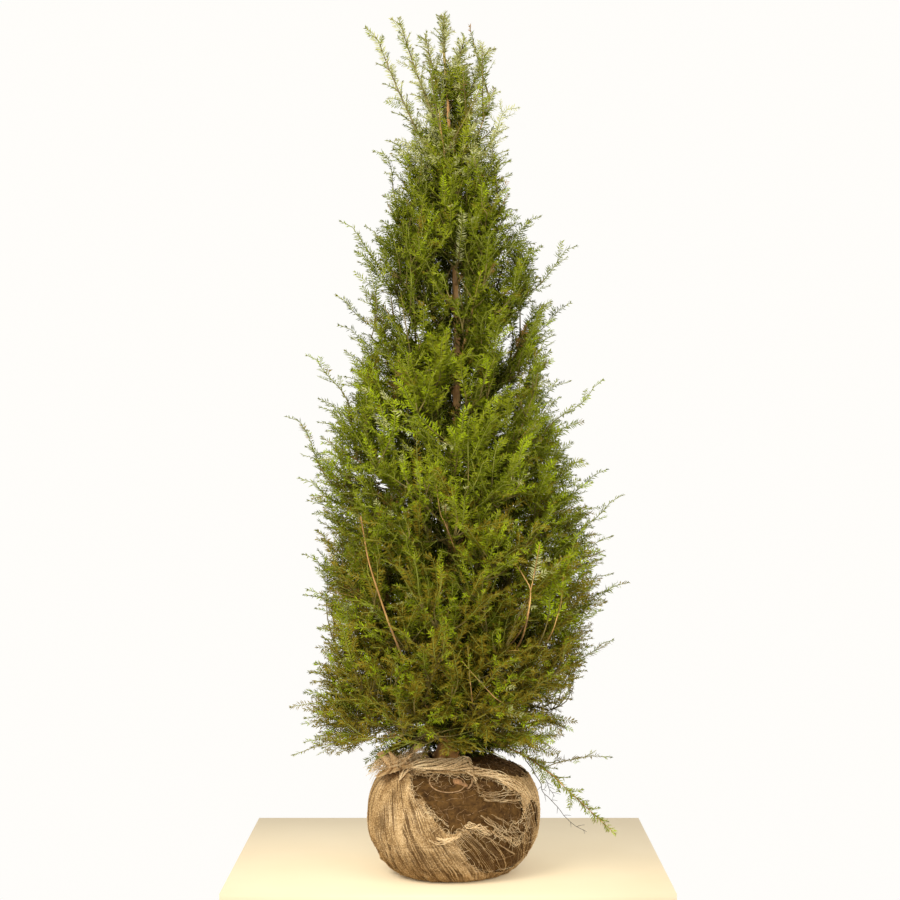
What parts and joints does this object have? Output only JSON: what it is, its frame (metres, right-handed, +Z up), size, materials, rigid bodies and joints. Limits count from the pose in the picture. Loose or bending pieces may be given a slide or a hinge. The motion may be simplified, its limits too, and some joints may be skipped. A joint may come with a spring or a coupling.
{
  "type": "root-balled yew",
  "caption": "Narrow, bushy evergreen hedging plant with ascending shoots, standing on a soil root ball wrapped in torn jute hessian.",
  "frame": {"origin": "centre of the flat underside of the root ball", "axes": "+Z up along the trunk, -Y towards the front that shows the tear in the hessian, +X to the right seen from the front"},
  "size_m": [0.776, 0.6262, 2.0273],
  "materials": {
    "bark": "matt, thin flaking reddish-brown bark",
    "foliage": "soft satin, flat dark green needles",
    "hessian": "matt, coarse open jute weave",
    "soil": "matt, moist crumbly soil held by fine roots"
  },
  "bodies": {
    "root": {"root_ball": "soil", "hessian_wrap": "hessian", "trunk": "bark", "bough_01": "bark", "bough_02": "bark", "bough_03": "bark", "bough_04": "bark", "bough_05": "bark", "bough_06": "bark", "bough_07": "bark", "bough_08": "bark", "bough_09": "bark", "bough_10": "bark", "bough_11": "bark", "bough_12": "bark", "bough_13": "bark", "bough_14": "bark", "bough_15": "bark", "bough_16": "bark", "bough_17": "bark", "bough_18": "bark", "bough_19": "bark", "bough_20": "bark", "bough_21": "bark", "bough_22": "bark", "bough_23": "bark", "bough_24": "bark", "bough_droop": "bark", "foliage_01": "foliage", "foliage_02": "foliage", "foliage_03": "foliage", "foliage_04": "foliage", "foliage_05": "foliage", "foliage_06": "foliage", "foliage_07": "foliage", "foliage_08": "foliage", "foliage_09": "foliage", "foliage_10": "foliage", "foliage_11": "foliage", "foliage_12": "foliage", "foliage_13": "foliage", "foliage_14": "foliage", "foliage_15": "foliage", "foliage_16": "foliage", "foliage_17": "foliage", "foliage_18": "foliage", "foliage_19": "foliage", "foliage_20": "foliage", "foliage_21": "foliage", "foliage_22": "foliage", "foliage_23": "foliage", "foliage_24": "foliage", "foliage_droop": "foliage", "foliage_leader_1": "foliage", "foliage_leader_2": "foliage", "foliage_leader_3": "foliage", "foliage_leader_4": "foliage", "foliage_leader_5": "foliage", "foliage_leader_6": "foliage"}
  },
  "joints": []
}
